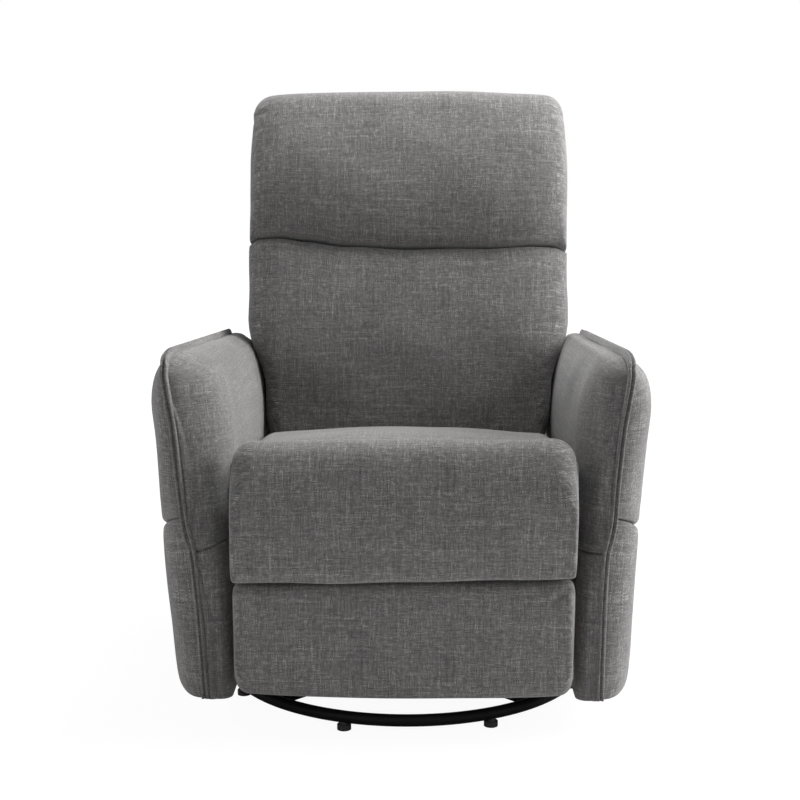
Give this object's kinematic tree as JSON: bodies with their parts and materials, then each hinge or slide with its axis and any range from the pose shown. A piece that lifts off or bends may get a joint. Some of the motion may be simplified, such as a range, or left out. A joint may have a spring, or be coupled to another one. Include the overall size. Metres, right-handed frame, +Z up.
{
  "type": "swivel rocker recliner",
  "caption": "Upholstered armchair that swivels and rocks on a ring base, with a fold-out scissor footrest and a back that leans as the seat slides forward.",
  "frame": {"origin": "on the swivel axis at floor level, under the middle of the ring base", "axes": "+Z up, the chair faces -Y, +X to the right of someone looking at its front"},
  "size_m": [0.768, 0.8453, 1.0128],
  "materials": {
    "grey_linen": "slubby linen weave",
    "black_metal": "satin",
    "dark_steel": "oiled",
    "zinc_steel": "zinc plated",
    "wood": "raw plywood",
    "black_rubber": "matte",
    "nylon": "matte",
    "black_plastic": "satin"
  },
  "bodies": {
    "base": {"base_ring": "black_metal", "base_cross_bars": "black_metal", "base_hub_plate": "black_metal", "floor_glides": "black_rubber", "swivel_lower_race": "dark_steel", "swivel_balls": "zinc_steel", "swivel_pivot_bolt": "zinc_steel", "swivel_lock_nut": "zinc_steel"},
    "turntable": {"swivel_upper_race": "dark_steel", "rocker_yoke": "black_metal", "rocker_shaft": "zinc_steel", "rocker_springs": "zinc_steel", "rock_bumpers": "black_rubber"},
    "chair": {"rocker_top_plate": "black_metal", "rocker_bushes": "nylon", "mechanism_cross_rails": "dark_steel", "mechanism_rail_left": "dark_steel", "mechanism_rail_right": "dark_steel", "arm_panel_left": "wood", "arm_panel_right": "wood", "arm_inner_pad_left": "grey_linen", "arm_inner_pad_right": "grey_linen", "arm_outer_pad_left": "grey_linen", "arm_outer_pad_right": "grey_linen", "arm_lower_pad_left": "grey_linen", "arm_lower_pad_right": "grey_linen", "arm_welt_left": "grey_linen", "arm_welt_right": "grey_linen", "rear_panel": "grey_linen", "release_cup": "black_plastic", "release_cable": "black_plastic"},
    "release": {"release_handle": "black_plastic"},
    "front_swing": {"front_swing_links": "zinc_steel"},
    "rear_swing": {"rear_swing_links": "zinc_steel"},
    "seat": {"seat_side_plate_left": "dark_steel", "seat_side_plate_right": "dark_steel", "seat_side_rails": "wood", "seat_front_rail": "wood", "seat_rear_rail": "wood", "seat_springs": "zinc_steel", "seat_cushion": "grey_linen", "seat_front_roll": "grey_linen"},
    "back": {"back_brackets": "dark_steel", "back_posts": "wood", "back_cross_rails": "wood", "back_springs": "zinc_steel", "lumbar_cushion": "grey_linen", "head_cushion": "grey_linen", "back_rear_cover": "grey_linen"},
    "footrest_drive": {"drive_tube": "zinc_steel", "drive_links": "zinc_steel"},
    "footrest_guide": {"guide_links": "zinc_steel"},
    "footrest_middle": {"middle_links": "zinc_steel"},
    "footrest_upper": {"upper_links": "zinc_steel"},
    "footrest": {"footrest_brackets": "dark_steel", "footrest_board": "wood", "footrest_pad": "grey_linen"}
  },
  "joints": [
    {"name": "swivel", "type": "hinge", "parent": "base", "child": "turntable", "pos_m": [0, 0, 0.04], "axis": [0, 0, 1], "continuous": true},
    {"name": "rock", "type": "hinge", "parent": "turntable", "child": "chair", "pos_m": [0, 0, 0.095], "axis": [-1, 0, 0], "range_deg": [-5, 8], "stiffness_Nm_per_rad": 900, "deforming": ["rocker_springs"]},
    {"name": "release_pull", "type": "hinge", "parent": "chair", "child": "release", "pos_m": [-0.3629, -0.1, 0.41105], "axis": [0, -1, 0], "range_deg": [0, 40], "stiffness_Nm_per_rad": 0.2, "springref_deg": -20.05},
    {"name": "front_swing", "type": "hinge", "parent": "chair", "child": "front_swing", "pos_m": [0, -0.055, 0.165], "axis": [1, 0, 0], "range_deg": [0, 40.01]},
    {"name": "seat_level", "type": "hinge", "parent": "front_swing", "child": "seat", "pos_m": [0, -0.03311, 0.22514], "axis": [1, 0, 0], "range_deg": [-40.01, 0]},
    {"name": "rear_swing", "type": "hinge", "parent": "chair", "child": "rear_swing", "pos_m": [0, 0.13, 0.165], "axis": [1, 0, 0], "range_deg": [0, 40.01]},
    {"name": "back_recline", "type": "hinge", "parent": "seat", "child": "back", "pos_m": [0, 0.195, 0.3], "axis": [-1, 0, 0], "range_deg": [0, 30]},
    {"name": "footrest_raise", "type": "hinge", "parent": "seat", "child": "footrest_drive", "pos_m": [0, -0.2045, 0.2352], "axis": [-1, 0, 0], "range_deg": [0, 99]},
    {"name": "middle_turn", "type": "hinge", "parent": "footrest_drive", "child": "footrest_middle", "pos_m": [0, -0.16195, 0.09941], "axis": [-1, 0, 0], "range_deg": [-100, 0]},
    {"name": "footrest_turn", "type": "hinge", "parent": "footrest_middle", "child": "footrest", "pos_m": [0, -0.264, 0.222], "axis": [-1, 0, 0], "range_deg": [0, 100]},
    {"name": "guide_turn", "type": "hinge", "parent": "seat", "child": "footrest_guide", "pos_m": [0, -0.1425, 0.2225], "axis": [-1, 0, 0], "range_deg": [0, 100]},
    {"name": "upper_turn", "type": "hinge", "parent": "footrest_drive", "child": "footrest_upper", "pos_m": [0, -0.1613, 0.0681], "axis": [-1, 0, 0], "range_deg": [-100, 0]}
  ],
  "couplings": [
    {"joint": "front_swing", "follows": "back_recline", "ratio": 1.3333},
    {"joint": "seat_level", "follows": "back_recline", "ratio": -1.3333},
    {"joint": "rear_swing", "follows": "back_recline", "ratio": 1.3333},
    {"joint": "middle_turn", "follows": "footrest_raise", "ratio": -1.0092},
    {"joint": "footrest_turn", "follows": "footrest_raise", "ratio": 1.0042},
    {"joint": "guide_turn", "follows": "footrest_raise", "ratio": 0.9972},
    {"joint": "upper_turn", "follows": "footrest_raise", "ratio": -1.0082}
  ]
}
